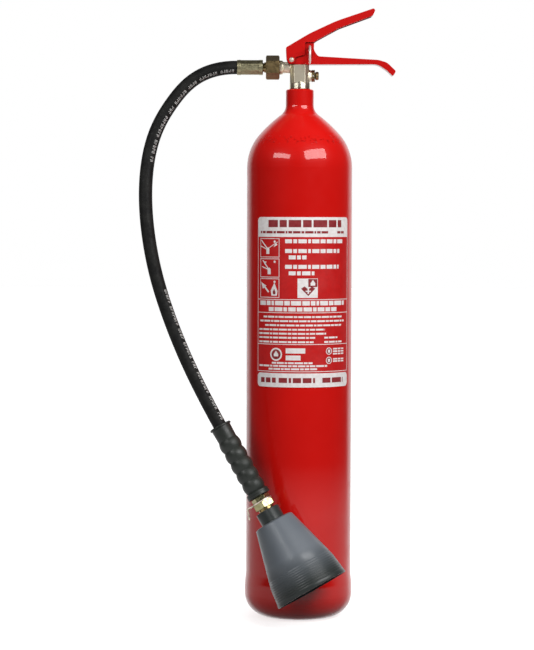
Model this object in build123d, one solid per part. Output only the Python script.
from build123d import *
from math import cos, radians, sin, sqrt, tan
import os

# A 5 kg carbon-dioxide fire extinguisher in millimetres.
# Origin: centre of the steel cylinder's foot ring, on the floor. +Z is the cylinder's axis.
# +X points along the carry handle, -X towards the hose, -Y is the labelled front.

# ---- driving dimensions -------------------------------------------------------------------
# cylinder
BODY_R = 68.0
BULGE_R = 69.4
WALL = 3.8
FOOT_FLAT_IN = 36.0
FOOT_CORNER_R = 30.0
SHOULDER_Z = 581.5
SHOULDER_R = 65.0
NECK_R = 18.0
NECK_BORE_R = 10.0
NECK_BOTTOM_Z = 648.0
NECK_TOP_Z = 682.2
# label
LABEL_BOTTOM_Z, LABEL_TOP_Z = 301.6, 518.4
LABEL_START_DEG, LABEL_SPAN_DEG = -143.4, 119.2
LABEL_CORNER_R = 5.0
# valve block
BLOCK_X = -0.55
BLOCK_SIZE = 24.5
BLOCK_FLAT = 14.0
BLOCK_BOTTOM_Z, BLOCK_TOP_Z = 690.6, 713.9
VALVE_BOTTOM_Z = 650.0
SEAT_Z = 700.0
CHAMBER_TOP_Z = 708.2
INLET_R = 6.0
GLAND_R = 6.0
STEM_R = 2.5
STEM_DOME_R = 4.0
STEM_TOP_Z = 729.05
RETAINER_BOTTOM_Z, RETAINER_TOP_Z = 672.0, 677.0
POPPET_BOTTOM_Z = 692.0
FIT = 0.05
# outlet and hose coupling, along -X at this height
OUTLET_Z = 710.7
SPIGOT_NECK_R = 7.3
SPIGOT_THREAD_R = 9.1
SPIGOT_THREAD_X, SPIGOT_END_X = -22.7, -37.0
NUT_FLATS = 27.0
NUT_NEAR_X, NUT_FAR_X = -26.3, -43.9
FERRULE_NEAR_X, FERRULE_FAR_X = -47.7, -81.2
FERRULE_R = 9.8
TAIL_R = 5.0
TAIL_BORE_R = 3.5
# burst disc, along +X at this height
BURST_Z = 700.0
BURST_SEAT_X = 8.2
BURST_THREAD_R = 5.0
# lever and handle, bent from sheet
SHEET = 2.0
LEVER_HALF = 12.0
HANDLE_HALF = 9.9
PIVOT = (-10.8, 720.1)
RIVET_R = 2.3
RIVET_HEAD_R = 3.3
LEVER_TOP = [(-18.2, 735.8), (12.0, 753.8), (46.0, 769.7), (93.6, 785.9)]
LEVER_TOP_RADII = [2.5, 150, 150, 0]
LEVER_TIP = [(97.4, 785.6), (93.2, 776.6), (87.7, 774.5)]
LEVER_TIP_RADII = [2.5, 4, 6]
LEVER_UNDER = [(50.0, 760.6), (21.0, 744.8), (18.4, 742.5), (6.6, 742.5)]
LEVER_UNDER_RADII = [30, 8, 3, 1]
LEVER_CHEEK = [(6.7, 726.8), (-6.2, 722.8), (-7.0, 714.9), (-14.6, 714.9), (-17.3, 721.0)]
LEVER_CHEEK_RADII = [1, 0, 4.5, 4.5, 3]
TONGUE_Z = 729.1
TONGUE_X = (-5.0, 3.5)
TONGUE_HALF = 6.0
HANDLE_EDGE = [(-4.2, 727.0), (5.0, 740.0), (9.0, 742.0), (18.2, 742.8), (17.6, 733.0), (23.0, 724.7)]
HANDLE_EDGE_RADII = [4, 4, 2, 2, 9, 6]
HANDLE_END = [(101.0, 720.3), (112.0, 717.0), (123.6, 706.0), (119.7, 699.2)]
HANDLE_END_RADII = [20, 14, 2.5, 1.5]
HANDLE_WEB = [(112.0, 706.6), (100.0, 714.6), (-7.0, 714.0), (-16.6, 714.6), (-16.6, 725.6)]
HANDLE_WEB_RADII = [30, 20, 0, 5, 5]
TAMPER_HOLE = (11.8, 726.6)
TAMPER_HOLE_R = 4.0
PIN_AT = (12.4, 736.2)
PIN_R = 1.4
PIN_TAIL_Y = 13.0
RING_R = 10.4
RING_TOP_Y = -25.0
RING_CURL_DEG = 314.0
# hose
HOSE_R = 8.7
HOSE_ROUTE = [
    (-81.2, 0.0, 710.7),
    (-113.5, 0.0, 710.7),
    (-144.5, -0.8, 699.6),
    (-172.0, -2.6, 676.0),
    (-194.0, -6.5, 634.0),
    (-203.0, -15.0, 577.0),
    (-198.0, -25.0, 511.0),
    (-184.5, -37.0, 442.0),
    (-161.5, -50.5, 374.0),
    (-132.0, -63.8, 310.0),
    (-103.2, -75.1, 257.6),
    (-87.9, -80.6, 231.1),
]
# grip, nut and horn: distances along their common axis, from the grip's top lip
HOSE_IN_GRIP = 26.0
GRIP_LENGTH = 102.0
GRIP_RIBS = 5
GRIP_PITCH = 14.8
LANCE_R = 7.0
LANCE_TOP, LANCE_STEP, LANCE_END = 28.0, 56.0, 131.0
COLLAR_TOP, HOOK_TOP, HOOK_BOTTOM = 103.0, 108.6, 110.4
HORN_NUT_FLATS = 25.0
HORN_NUT_END = 118.4
HORN_NECK_TOP, HORN_SHOULDER, HORN_BAND, HORN_MOUTH = 122.0, 138.4, 211.0, 237.4
HORN_NECK_R, HORN_BAND_R, HORN_MOUTH_R = 15.5, 45.0, 48.25
HORN_WALL = 2.8


# ---- helpers ------------------------------------------------------------------------------
def profile(points):
    """A face in the XZ plane from (x, z) points."""
    return make_face(Plane.XZ * Polyline(*points, close=True))


def turned(points):
    """A solid turned about Z from (radius, z) points."""
    return revolve(profile(points), Axis.Z)


def plate(points, low_y, high_y):
    """An outline of (x, z) points, from y = low_y to high_y."""
    return Pos(0, low_y, 0) * extrude(profile(points), high_y - low_y, dir=(0, 1, 0))


def tube(outer, inner, low, high):
    """A hollow cylinder on Z from z = low to high."""
    return turned([(inner, low), (outer, low), (outer, high), (inner, high)])


def rod(radius, low, high):
    """A cylinder on Z from z = low to high."""
    return Pos(0, 0, (low + high) / 2) * Cylinder(radius, high - low)


def along_x(shape, z):
    """Turns a shape made on Z so that its axis is +X at height z."""
    return Pos(0, 0, z) * Rot(0, 90, 0) * shape


def along_y(radius, x, z, low, high):
    """A cylinder parallel to Y from y = low to high."""
    return Pos(x, (low + high) / 2, z) * Rot(90, 0, 0) * Cylinder(radius, high - low)


def hexagon(flats, low, high, bore=0.0, turn=0.0, chamfer=1.2):
    """A hexagon on Z with both ends chamfered round, as on a nut."""
    corner = flats / sqrt(3)
    prism = Pos(0, 0, low) * extrude(RegularPolygon(corner, 6, rotation=turn), high - low)
    rise = chamfer * 0.58
    blank = turned([
        (0, low), (corner - chamfer, low), (corner, low + rise),
        (corner, high - rise), (corner - chamfer, high), (0, high),
    ])
    nut = prism & blank
    return nut - rod(bore, low - 1, high + 1) if bore else nut


def dome(top, edge):
    """A round arc from (0, top) on the axis, where it lies level, to the point edge."""
    sag = top - edge[1]
    radius = (edge[0] ** 2 + sag**2) / (2 * sag)
    across = edge[0] / 2
    return ThreePointArc((0, top), (across, top - radius + sqrt(radius**2 - across**2)), edge)


def save(name, shape):
    """Writes one node, with its name as the file's name."""
    export_step(shape, f"parts/{name}.step")


# ---- cylinder and label -------------------------------------------------------------------
def cylinder():
    """Seamless steel bottle: concave base, domed shoulder, thick turned neck."""
    shoulder_x = BODY_R - SHOULDER_R
    shoulder_end = (50.5, 625.9)
    knuckle = (23.3, 650.6)
    foot_out = BULGE_R - FOOT_CORNER_R
    middle = radians(21.5)
    shoulder_mid = (shoulder_x + SHOULDER_R * cos(middle), SHOULDER_Z + SHOULDER_R * sin(middle))
    hollow_r = BODY_R - WALL
    inner_knuckle, inner_foot = (44.5, 621.0), (42.0, 6.5)
    outline = Plane.XZ * (
        dome(14, (31, 3))
        + ThreePointArc((31, 3), (33.2, 0.9), (FOOT_FLAT_IN, 0))
        + Line((FOOT_FLAT_IN, 0), (foot_out, 0))
        + CenterArc((foot_out, FOOT_CORNER_R), FOOT_CORNER_R, -90, 90)
        + Line((BULGE_R, FOOT_CORNER_R), (BULGE_R, 42))
        + Spline((BULGE_R, 42), (BODY_R, 58), tangents=[(0, 1), (0, 1)])
        + Line((BODY_R, 58), (BODY_R, SHOULDER_Z))
        + ThreePointArc((BODY_R, SHOULDER_Z), shoulder_mid, shoulder_end)
        + ThreePointArc(shoulder_end, (37.6, 638.9), knuckle)
        + ThreePointArc(knuckle, (19.6, 655.4), (NECK_R, 661.5))
        + Polyline(
            (NECK_R, 661.5), (NECK_R, NECK_TOP_Z - 1.2), (NECK_R - 1.2, NECK_TOP_Z),
            (NECK_BORE_R, NECK_TOP_Z), (NECK_BORE_R, NECK_BOTTOM_Z),
        )
        + ThreePointArc((NECK_BORE_R, NECK_BOTTOM_Z), (30, 636.5), inner_knuckle)
        + ThreePointArc(inner_knuckle, (58.2, 604.0), (hollow_r, SHOULDER_Z))
        + Line((hollow_r, SHOULDER_Z), (hollow_r, 34))
        + ThreePointArc((hollow_r, 34), (57.0, 14.5), inner_foot)
        + dome(20.5, inner_foot)
        + Line((0, 20.5), (0, 14))
    )
    return revolve(make_face(outline), Axis.Z)


def label():
    """Thin printed sheet wrapped round the front of the cylinder."""
    strip = profile([
        (BODY_R + 0.1, LABEL_BOTTOM_Z), (BODY_R + 0.3, LABEL_BOTTOM_Z),
        (BODY_R + 0.3, LABEL_TOP_Z), (BODY_R + 0.1, LABEL_TOP_Z),
    ])
    sheet = revolve(Rot(0, 0, LABEL_START_DEG) * strip, Axis.Z, revolution_arc=LABEL_SPAN_DEG)
    corners = [edge for edge in sheet.edges() if edge.length < 1]
    return fillet(corners, LABEL_CORNER_R)


# ---- valve --------------------------------------------------------------------------------
def valve_body():
    """Nickel-plated brass body: threaded shank, round collar, square block, outlet spigot."""
    half = BLOCK_SIZE / 2
    chamfer_size = (BLOCK_SIZE - BLOCK_FLAT) / 2
    height = BLOCK_TOP_Z - BLOCK_BOTTOM_Z
    block = Pos(BLOCK_X, 0, BLOCK_BOTTOM_Z + height / 2) * Box(BLOCK_SIZE, BLOCK_SIZE, height)
    block = chamfer(block.edges().filter_by(Axis.Z), chamfer_size)
    collar_r = 13.4
    turned_part = turned([
        (0, VALVE_BOTTOM_Z), (NECK_BORE_R - 1, VALVE_BOTTOM_Z),
        (NECK_BORE_R - FIT, VALVE_BOTTOM_Z + 1.5), (NECK_BORE_R - FIT, NECK_TOP_Z),
        (collar_r - 0.8, NECK_TOP_Z), (collar_r, NECK_TOP_Z + 0.8),
        (collar_r, BLOCK_BOTTOM_Z - 0.4), (collar_r - 0.4, BLOCK_BOTTOM_Z),
        (half - 0.2, BLOCK_BOTTOM_Z + 2.6), (0, BLOCK_BOTTOM_Z + 2.6),
    ])
    block_left, block_right = BLOCK_X - half, BLOCK_X + half
    spigot = along_x(
        turned([
            (0, block_left), (SPIGOT_NECK_R, block_left), (SPIGOT_NECK_R, SPIGOT_THREAD_X + 1.2),
            (SPIGOT_THREAD_R, SPIGOT_THREAD_X), (SPIGOT_THREAD_R, SPIGOT_END_X + 1.0),
            (SPIGOT_THREAD_R - 1.0, SPIGOT_END_X), (0, SPIGOT_END_X),
        ]),
        OUTLET_Z,
    )
    boss = along_x(
        turned([(0, block_right - 1), (8.2, block_right - 1), (8.2, block_right), (6.9, 15.0), (0, 15.0)]),
        BURST_Z,
    )
    body = block + turned_part + spigot + boss
    bores = [
        rod(INLET_R, VALVE_BOTTOM_Z - 1, SEAT_Z),
        rod(3.0, SEAT_Z - 1, 704),
        rod(3.8, 703, CHAMBER_TOP_Z + 1),
        rod(GLAND_R, CHAMBER_TOP_Z, BLOCK_TOP_Z + 1),
        along_x(rod(4.0, SPIGOT_END_X - 1, -17.0), OUTLET_Z),
        along_x(rod(BURST_THREAD_R, BURST_SEAT_X, 16.0), BURST_Z),
        along_x(rod(1.5, 4.0, BURST_SEAT_X + 0.5), SEAT_Z - 2.4),
    ]
    for bore in bores:
        body -= bore
    passage_start, passage_end = Vector(-2.5, 0, 705.2), Vector(-18.5, 0, OUTLET_Z)
    run = passage_end - passage_start
    passage = extrude(Plane(passage_start, z_dir=run) * Circle(1.9), run.length)
    return body - passage


def dip_tube():
    """Tube that takes liquid from the bottom of the cylinder, its end cut at an angle."""
    pipe = tube(INLET_R - FIT, 4.6, 26.0, RETAINER_BOTTOM_Z)
    cutter = Pos(0, 0, 20.5) * Rot(0, -28, 0) * Box(30, 30, 16)
    return pipe - cutter


def spring_retainer():
    """Hollow screwed plug under the valve spring, slotted for a driver."""
    plug = tube(INLET_R - FIT, 2.8, RETAINER_BOTTOM_Z, RETAINER_TOP_Z)
    slot = Pos(0, 0, RETAINER_BOTTOM_Z) * Box(20, 1.6, 2.4)
    return plug - slot


def poppet():
    """Brass valve head, bored for the stem and stepped to centre the spring."""
    return turned([
        (1.85, POPPET_BOTTOM_Z - 3), (3.3, POPPET_BOTTOM_Z - 3), (3.3, POPPET_BOTTOM_Z),
        (5.2, POPPET_BOTTOM_Z), (5.2, SEAT_Z - 1.6), (1.85, SEAT_Z - 1.6),
    ])


def poppet_seal():
    """Soft disc that closes on the seat."""
    return tube(5.0, 1.85, SEAT_Z - 1.6, SEAT_Z - FIT)


def poppet_spring():
    """Compression spring that holds the valve shut."""
    wire_r, coil_r = 0.6, 4.6
    low = RETAINER_TOP_Z + wire_r + FIT
    high = POPPET_BOTTOM_Z - wire_r - FIT
    coil = Pos(0, 0, low) * Helix(pitch=(high - low) / 5, height=high - low, radius=coil_r)
    section = Plane(coil @ 0, z_dir=coil % 0) * Circle(wire_r)
    return sweep(section, path=coil)


def valve_stem():
    """Push rod with a domed top; its thin lower end screws into the poppet."""
    dome_start = STEM_TOP_Z - STEM_DOME_R + sqrt(STEM_DOME_R**2 - STEM_R**2)
    rise = sqrt(STEM_DOME_R**2 - (STEM_R / 2) ** 2)
    outline = Plane.XZ * (
        Polyline((0, 690.0), (1.8, 690.0), (1.8, 706.5), (STEM_R, 707.2), (STEM_R, dome_start))
        + ThreePointArc(
            (STEM_R, dome_start), (STEM_R / 2, STEM_TOP_Z - STEM_DOME_R + rise), (0, STEM_TOP_Z)
        )
        + Line((0, STEM_TOP_Z), (0, 690.0))
    )
    return revolve(make_face(outline), Axis.Z)


def stem_o_ring():
    """Rubber ring that seals the stem."""
    return Pos(0, 0, CHAMBER_TOP_Z + 0.92) * Torus(3.43, 0.88)


def stem_gland():
    """Hex-headed gland screw: guides the stem and clamps the carry handle to the block."""
    hollow = CHAMBER_TOP_Z + 1.95
    head_low, head_high = BLOCK_TOP_Z + SHEET + 0.1, 722.0
    shank = turned([
        (4.4, CHAMBER_TOP_Z), (GLAND_R - FIT, CHAMBER_TOP_Z), (GLAND_R - FIT, head_low),
        (STEM_R + FIT, head_low), (STEM_R + FIT, hollow), (4.4, hollow),
    ])
    return shank + hexagon(13.0, head_low, head_high, STEM_R + FIT, turn=30, chamfer=0.8)


def burst_disc_plug():
    """Screwed plug with side vents that holds the burst disc."""
    plug = turned([
        (0, 9.7), (BURST_THREAD_R - FIT, 9.7), (BURST_THREAD_R - FIT, 15.0), (0, 15.0),
    ])
    head = turned([
        (0, 19.0), (3.9, 19.0), (3.9, 20.0), (5.0, 20.0), (5.35, 20.6),
        (5.35, 23.2), (4.6, 24.3), (0, 24.3),
    ])
    plug += hexagon(13.6, 15.0, 19.3, turn=0, chamfer=0.7) + head
    plug -= rod(2.2, 9.0, 18.0)
    for turn in (0, 90):
        plug -= Rot(0, 0, turn) * Pos(0, 0, 17.2) * Rot(90, 0, 0) * Cylinder(0.9, 20)
    return along_x(plug, BURST_Z)


def burst_disc():
    """Thin disc that bursts at over-pressure, domed away from the gas."""
    return along_x(rod(4.9, 9.2, 9.7), BURST_Z)


def burst_disc_gasket():
    """Soft copper ring under the burst disc."""
    return along_x(tube(4.9, 3.2, BURST_SEAT_X, 9.2), BURST_Z)


# ---- lever, handle and pin ----------------------------------------------------------------
def rounded_plate(points, radii, low_y, high_y):
    """A plate whose corners are rounded where radii gives a radius above zero."""
    face = profile(points)
    for (x, z), radius in zip(points, radii):
        if radius:
            corner = face.vertices().sort_by_distance((x, 0, z))[0]
            face = fillet(corner, radius)
    return Pos(0, low_y, 0) * extrude(face, high_y - low_y, dir=(0, 1, 0))


def moved(points, dx, dz):
    """The same points, shifted."""
    return [(x + dx, z + dz) for x, z in points]


def squeeze_lever():
    """Pressed channel, open downwards, with two pivot cheeks and a folded tongue for the stem."""
    outline = LEVER_TOP + LEVER_TIP + LEVER_UNDER + LEVER_CHEEK
    radii = LEVER_TOP_RADII + LEVER_TIP_RADII + LEVER_UNDER_RADII + LEVER_CHEEK_RADII
    shell = rounded_plate(outline, radii, -LEVER_HALF, LEVER_HALF)
    # the inside follows the top skin, one sheet thickness below it, and is open underneath
    inside = moved(LEVER_TOP[:3], 1.0, -SHEET * 1.12) + moved(LEVER_TOP[3:], -1.6, -SHEET * 1.15)
    inside[0] = (-40.0, inside[0][1] - 13.6)
    inside += [(91.6, 760.0), (60.0, 700.0), (-40.0, 700.0)]
    channel = rounded_plate(inside, [0, 150, 150, 0, 0, 0, 0], -LEVER_HALF + SHEET, LEVER_HALF - SHEET)
    lever = shell - channel
    lever -= along_y(RIVET_R + FIT, *PIVOT, -20, 20)
    near, far = TONGUE_X
    bend = TONGUE_Z + SHEET
    tongue = [
        (near, TONGUE_Z), (far, TONGUE_Z), (far, 747.4), (far - SHEET, 746.4),
        (far - SHEET, bend), (near, bend),
    ]
    return lever + plate(tongue, -TONGUE_HALF, TONGUE_HALF)


def carry_handle():
    """Pressed channel, open upwards, clamped on the block; its ears carry rivet and pin."""
    outline = HANDLE_EDGE + HANDLE_END + HANDLE_WEB
    radii = HANDLE_EDGE_RADII + HANDLE_END_RADII + HANDLE_WEB_RADII
    shell = rounded_plate(outline, radii, -HANDLE_HALF, HANDLE_HALF)
    web_left = BLOCK_X - BLOCK_SIZE / 2 + 0.1
    web_top = BLOCK_TOP_Z + SHEET
    inside = [
        (web_left, web_top), (12.0, web_top), (100.6, 716.6), (113.0, 708.4), (119.4, 702.2),
        (135.0, 712.0), (110.0, 745.0), (-30.0, 745.0), (-30.0, 712.0), (web_left, 712.0),
    ]
    half = HANDLE_HALF - SHEET
    handle = shell - rounded_plate(inside, [0, 0, 20, 30, 0, 0, 0, 0, 0, 0], -half, half)
    handle -= along_y(RIVET_R + FIT, *PIVOT, -20, 20)
    handle -= along_y(PIN_R + FIT, *PIN_AT, -20, 20)
    handle -= along_y(TAMPER_HOLE_R, *TAMPER_HOLE, -20, 0)
    return handle - rod(GLAND_R + 0.3, 700, 720)


def lever_rivet():
    """Domed rivet that the squeeze lever turns on."""
    rivet = along_y(RIVET_R, *PIVOT, -LEVER_HALF - 0.3, LEVER_HALF + 0.3)
    dome_r, dome_height = 4.2, 1.6
    for side in (-1, 1):
        ball = Pos(PIVOT[0], side * (LEVER_HALF + 0.1 + dome_height - dome_r), PIVOT[1]) * Sphere(dome_r)
        limit = along_y(
            RIVET_HEAD_R, *PIVOT, *sorted((side * (LEVER_HALF + 0.1), side * (LEVER_HALF + 4)))
        )
        rivet += ball & limit
    return rivet


def safety_pin():
    """Pull pin formed from one wire: a straight shank that curls into the pull ring."""
    x, z = PIN_AT
    ring_plane = Plane(origin=(x, RING_TOP_Y, z - RING_R), x_dir=(0, -1, 0), z_dir=(-1, 0, 0))
    curl = ring_plane * CenterArc((0, 0), RING_R, 90, -RING_CURL_DEG)
    path = Line((x, PIN_TAIL_Y, z), (x, RING_TOP_Y, z)) + curl
    section = Plane((x, PIN_TAIL_Y, z), z_dir=(0, -1, 0)) * Circle(PIN_R)
    pin = sweep(section, path=path)
    tail = pin.edges().sort_by(Axis.Y)[-1]
    return chamfer(tail, PIN_R / 2)


# ---- hose and its coupling ----------------------------------------------------------------
def hose_nut():
    """Swivel nut, free on the hose tail, that draws it onto the valve's spigot."""
    nut = hexagon(NUT_FLATS, NUT_FAR_X, NUT_NEAR_X, turn=0, chamfer=1.8)
    nut -= rod(SPIGOT_THREAD_R + FIT, NUT_FAR_X + 2.5, NUT_NEAR_X + 1)
    nut -= rod(6.8, NUT_FAR_X - 1, NUT_FAR_X + 3)
    return along_x(nut, OUTLET_Z)


def hose_seal_washer():
    """Copper washer between spigot and hose tail."""
    return along_x(tube(8.4, 4.6, SPIGOT_END_X - 0.8, SPIGOT_END_X), OUTLET_Z)


def hose_tail():
    """Brass insert: flat head inside the nut, barbed stem inside the hose."""
    head_near = SPIGOT_END_X - 0.8
    head_far = NUT_FAR_X + 2.5
    barb_low, barb_high = FERRULE_FAR_X + 2.2, FERRULE_NEAR_X
    outline = [
        (TAIL_BORE_R, head_near), (9.0, head_near), (9.0, head_far), (6.75, head_far),
        (6.75, NUT_FAR_X - 2.0), (5.8, NUT_FAR_X - 2.0), (5.8, barb_high), (TAIL_R, barb_high),
        (TAIL_R, barb_low), (TAIL_BORE_R, barb_low),
    ]
    return along_x(turned(outline), OUTLET_Z)


def crimped_ferrule(low, high):
    """Steel ferrule on Z, with eight crimped flats between two plain bands."""
    shell = turned([
        (TAIL_R + FIT, low), (FERRULE_R - 0.6, low), (FERRULE_R, low + 0.6),
        (FERRULE_R, high - 0.6), (FERRULE_R - 0.6, high), (TAIL_R + FIT, high),
    ])
    band = 5.0
    flat = 9.25
    pressed = Pos(0, 0, low + band) * extrude(
        RegularPolygon(flat / cos(radians(22.5)), 8, rotation=22.5), high - low - 2 * band
    )
    middle = rod(FERRULE_R + 1, low + band, high - band)
    return shell - (middle - pressed)


def hose_ferrule():
    """Ferrule at the valve end of the hose."""
    return along_x(crimped_ferrule(FERRULE_FAR_X, FERRULE_NEAR_X), OUTLET_Z)


def corner_radii(route):
    """The largest arc at each corner: 0.45 of the shorter run over the tangent of half the turn."""
    points = [Vector(*point) for point in route]
    radii = []
    for before, at, after in zip(points, points[1:], points[2:]):
        arriving, leaving = at - before, after - at
        half_turn = radians(arriving.get_angle(leaving)) / 2
        radii.append(0.45 * min(arriving.length, leaving.length) / tan(half_turn))
    return radii


def hose():
    """Wire-braided rubber hose: straight runs joined by tangent arcs."""
    radii = corner_radii(HOSE_ROUTE)
    path = FilletPolyline(*HOSE_ROUTE, radius=radii)
    section = Plane(HOSE_ROUTE[0], z_dir=(-1, 0, 0)) * Circle(HOSE_R)
    solid = sweep(section, path=path)
    expected = path.length * section.area
    print("hose radii", [round(r) for r in radii], "length", round(path.length, 1))
    print("hose volume over section times length", round(solid.volume / expected, 4))
    return solid


# ---- grip and horn, on the hose's last run -------------------------------------------------
def horn_frame():
    """Plane at the grip's top lip: Z runs down the horn, X points to its hook side."""
    end, before = Vector(*HOSE_ROUTE[-1]), Vector(*HOSE_ROUTE[-2])
    direction = (end - before).normalized()
    side = direction.cross(Vector(0, 1, 0)) * -1
    return Plane(origin=end - direction * HOSE_IN_GRIP, x_dir=side, z_dir=direction)


def hose_grip():
    """Moulded rubber grip with a lip, a smooth sleeve, rounded ribs and a grooved end."""
    valley, crest = 12.3, 14.1
    ribs_start = 20.0
    edges = Polyline((8.9, 0), (14.0, 0), (14.5, 0.8), (14.5, 2.0), (12.8, 2.8), (valley, ribs_start))
    for rib in range(GRIP_RIBS):
        low = ribs_start + rib * GRIP_PITCH
        edges += ThreePointArc(
            (valley, low), (crest, low + GRIP_PITCH / 2), (valley, low + GRIP_PITCH)
        )
    ribs_end = ribs_start + GRIP_RIBS * GRIP_PITCH
    edges += Polyline(
        (valley, ribs_end), (15.0, ribs_end + 2.0), (15.0, 98.2), (14.4, 98.2), (14.4, 99.2),
        (15.0, 99.2), (15.0, GRIP_LENGTH - 0.6), (14.4, GRIP_LENGTH), (LANCE_R + 0.1, GRIP_LENGTH),
        (LANCE_R + 0.1, LANCE_STEP + 0.3), (FERRULE_R + 0.1, LANCE_STEP + 0.3),
        (FERRULE_R + 0.1, HOSE_IN_GRIP), (8.9, HOSE_IN_GRIP), (8.9, 0),
    )
    return revolve(make_face(Plane.XZ * edges), Axis.Z)


def grip_ferrule():
    """Ferrule at the horn end of the hose, hidden in the grip."""
    return crimped_ferrule(HOSE_IN_GRIP, LANCE_STEP)


def lance_tube():
    """Steel tube from the hose to the horn, with a hexagon that backs the hook washer."""
    pipe = turned([
        (TAIL_BORE_R, LANCE_TOP), (TAIL_R, LANCE_TOP), (TAIL_R, LANCE_STEP), (LANCE_R, LANCE_STEP),
        (LANCE_R, LANCE_END), (TAIL_BORE_R, LANCE_END),
    ])
    return pipe + hexagon(21.0, COLLAR_TOP, HOOK_TOP, LANCE_R, turn=0, chamfer=0.8)


def horn_hook_washer():
    """Flat washer with an arm bent into a hook, which parks the horn on a bracket."""
    disc = tube(13.0, LANCE_R + 0.1, HOOK_TOP, HOOK_BOTTOM)
    arm = plate(
        [
            (9.0, HOOK_TOP), (21.0, HOOK_TOP), (22.4, HOOK_TOP + 1.0), (26.2, 122.1),
            (24.5, 122.7), (20.9, HOOK_TOP + 2.3), (20.3, HOOK_BOTTOM), (9.0, HOOK_BOTTOM),
        ],
        -4.5,
        4.5,
    )
    return disc + arm


def horn_nut():
    """Jam nut that locks hook washer and horn."""
    return hexagon(HORN_NUT_FLATS, HOOK_BOTTOM, HORN_NUT_END, LANCE_R + 0.1, turn=30)


def horn_nozzle():
    """Brass insert in the horn's neck: threaded for the lance, with the jet's orifice."""
    return turned([
        (LANCE_R + FIT, HORN_NUT_END), (10.0, HORN_NUT_END), (10.0, HORN_NECK_TOP),
        (8.0, HORN_NECK_TOP), (8.0, 145.0), (4.5, 145.0), (1.8, 140.0), (1.8, LANCE_END),
        (LANCE_R + FIT, LANCE_END),
    ])


def horn():
    """Thin plastic discharge horn: neck, round shoulder, cone and a plainer rim band."""
    shoulder_r = 26.0
    outer = [
        (8.05, HORN_NECK_TOP), (HORN_NECK_R - 1, HORN_NECK_TOP), (HORN_NECK_R, HORN_NECK_TOP + 1),
        (HORN_NECK_R, HORN_SHOULDER), (shoulder_r - 2.2, HORN_SHOULDER), (shoulder_r, HORN_SHOULDER + 2.4),
        (HORN_BAND_R, HORN_BAND), (HORN_BAND_R + 0.8, HORN_BAND + 1.2), (HORN_MOUTH_R, HORN_MOUTH),
    ]
    inner = [
        (HORN_MOUTH_R - HORN_WALL, HORN_MOUTH), (HORN_BAND_R - HORN_WALL, HORN_BAND + 1.2),
        (shoulder_r - HORN_WALL, HORN_SHOULDER + 4.4), (8.05, HORN_SHOULDER + 4.4),
    ]
    return turned(outer + inner)


# ---- build --------------------------------------------------------------------------------
STANDING = [
    cylinder, label, valve_body, dip_tube, spring_retainer, poppet, poppet_seal, poppet_spring,
    valve_stem, stem_o_ring, stem_gland, burst_disc_plug, burst_disc, burst_disc_gasket,
    squeeze_lever, carry_handle, lever_rivet, safety_pin, hose_nut, hose_seal_washer, hose_tail,
    hose_ferrule, hose,
]
ON_HORN_AXIS = [hose_grip, grip_ferrule, lance_tube, horn_hook_washer, horn_nut, horn_nozzle, horn]

os.makedirs("parts", exist_ok=True)
for make in STANDING:
    save(make.__name__, make())
for make in ON_HORN_AXIS:
    save(make.__name__, horn_frame() * make())
